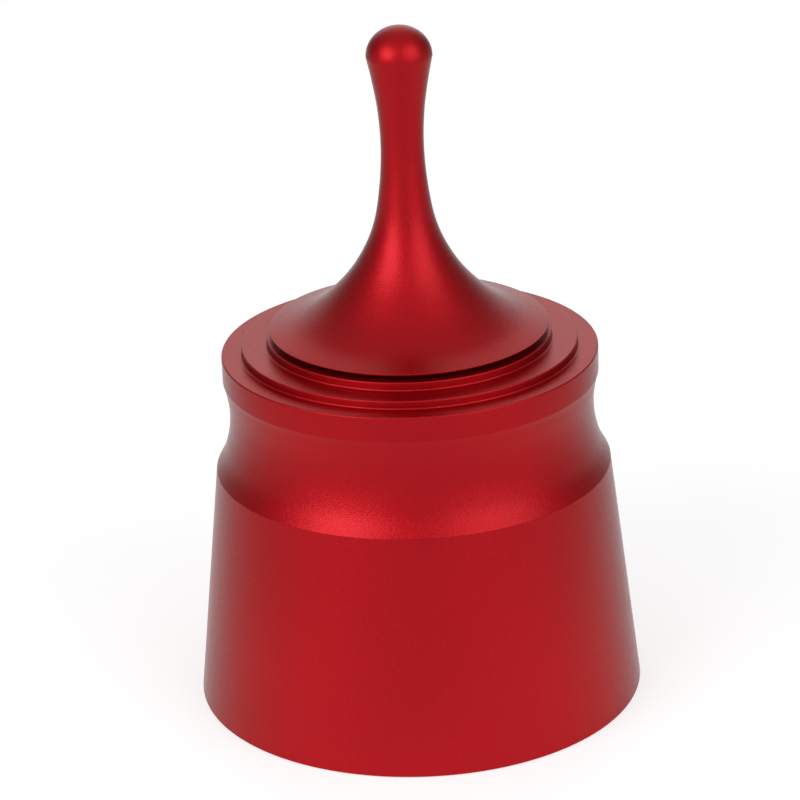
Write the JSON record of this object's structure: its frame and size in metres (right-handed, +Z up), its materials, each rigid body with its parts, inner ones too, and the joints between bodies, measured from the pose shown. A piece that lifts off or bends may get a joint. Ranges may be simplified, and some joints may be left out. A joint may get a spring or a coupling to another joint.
{
  "type": "espresso needle distributor",
  "caption": "Finger-spun needle distributor for espresso grounds, with planet gears in a turned collar, standing in a conical stand.",
  "frame": {"origin": "centre of the stand's underside, where its foot ring rests", "axes": "+Z up along the spindle; the two planet gears lie along X at rest; the pictured side faces -Y"},
  "size_m": [0.078, 0.078, 0.1198],
  "materials": {
    "red_anodised": "fine bead-blasted aluminium, dyed red and anodised, satin",
    "clear_anodised": "turned aluminium, clear anodised",
    "steel": "bright stainless and bearing steel",
    "brass": "machined brass",
    "nylon": "natural nylon ball cage",
    "rubber": "matt black silicone"
  },
  "bodies": {
    "stand": {"stand_shell": "red_anodised", "stand_foot_ring": "rubber"},
    "collar": {"collar_shell": "red_anodised", "ring_gear": "steel", "gear_retaining_ring": "red_anodised", "upper_outer_race": "steel", "lower_outer_race": "steel", "bearing_circlip": "steel"},
    "rotor": {"handle": "red_anodised", "spindle": "steel", "upper_inner_race": "steel", "lower_inner_race": "steel", "carrier_plate": "clear_anodised", "carrier_cover": "clear_anodised", "carrier_pillar_front": "clear_anodised", "carrier_pillar_rear": "clear_anodised", "carrier_screw_front": "steel", "carrier_screw_rear": "steel", "planet_axle_right": "steel", "planet_axle_left": "steel"},
    "upper_balls": {"upper_ball_cage": "nylon"},
    "lower_balls": {"lower_ball_cage": "nylon"},
    "right_planet": {"planet_gear_right": "brass", "planet_bush_right": "brass", "needle_disc_right": "clear_anodised", "disc_screw_right_1": "steel", "disc_screw_right_2": "steel", "needle_right_1": "steel", "needle_right_2": "steel", "needle_right_3": "steel", "needle_right_4": "steel"},
    "left_planet": {"planet_gear_left": "brass", "planet_bush_left": "brass", "needle_disc_left": "clear_anodised", "disc_screw_left_1": "steel", "disc_screw_left_2": "steel", "needle_left_1": "steel", "needle_left_2": "steel", "needle_left_3": "steel", "needle_left_4": "steel"}
  },
  "joints": [
    {"name": "tool_lift", "type": "slide", "parent": "stand", "child": "collar", "axis": [0, 0, 1], "range_m": [0, 0.06]},
    {"name": "handle_spin", "type": "hinge", "parent": "collar", "child": "rotor", "pos_m": [0, 0, 0.06], "axis": [0, 0, 1], "continuous": true},
    {"name": "upper_cage_spin", "type": "hinge", "parent": "collar", "child": "upper_balls", "pos_m": [0, 0, 0.0625], "axis": [0, 0, 1], "continuous": true},
    {"name": "lower_cage_spin", "type": "hinge", "parent": "collar", "child": "lower_balls", "pos_m": [0, 0, 0.0582], "axis": [0, 0, 1], "continuous": true},
    {"name": "right_planet_spin", "type": "hinge", "parent": "rotor", "child": "right_planet", "pos_m": [0.013, 0, 0.0475], "axis": [0, 0, 1], "continuous": true},
    {"name": "left_planet_spin", "type": "hinge", "parent": "rotor", "child": "left_planet", "pos_m": [-0.013, 0, 0.0475], "axis": [0, 0, 1], "continuous": true}
  ],
  "couplings": [
    {"joint": "upper_cage_spin", "follows": "handle_spin", "ratio": 0.40833},
    {"joint": "lower_cage_spin", "follows": "handle_spin", "ratio": 0.40833},
    {"joint": "right_planet_spin", "follows": "handle_spin", "ratio": -2.1818},
    {"joint": "left_planet_spin", "follows": "handle_spin", "ratio": -2.1818}
  ]
}
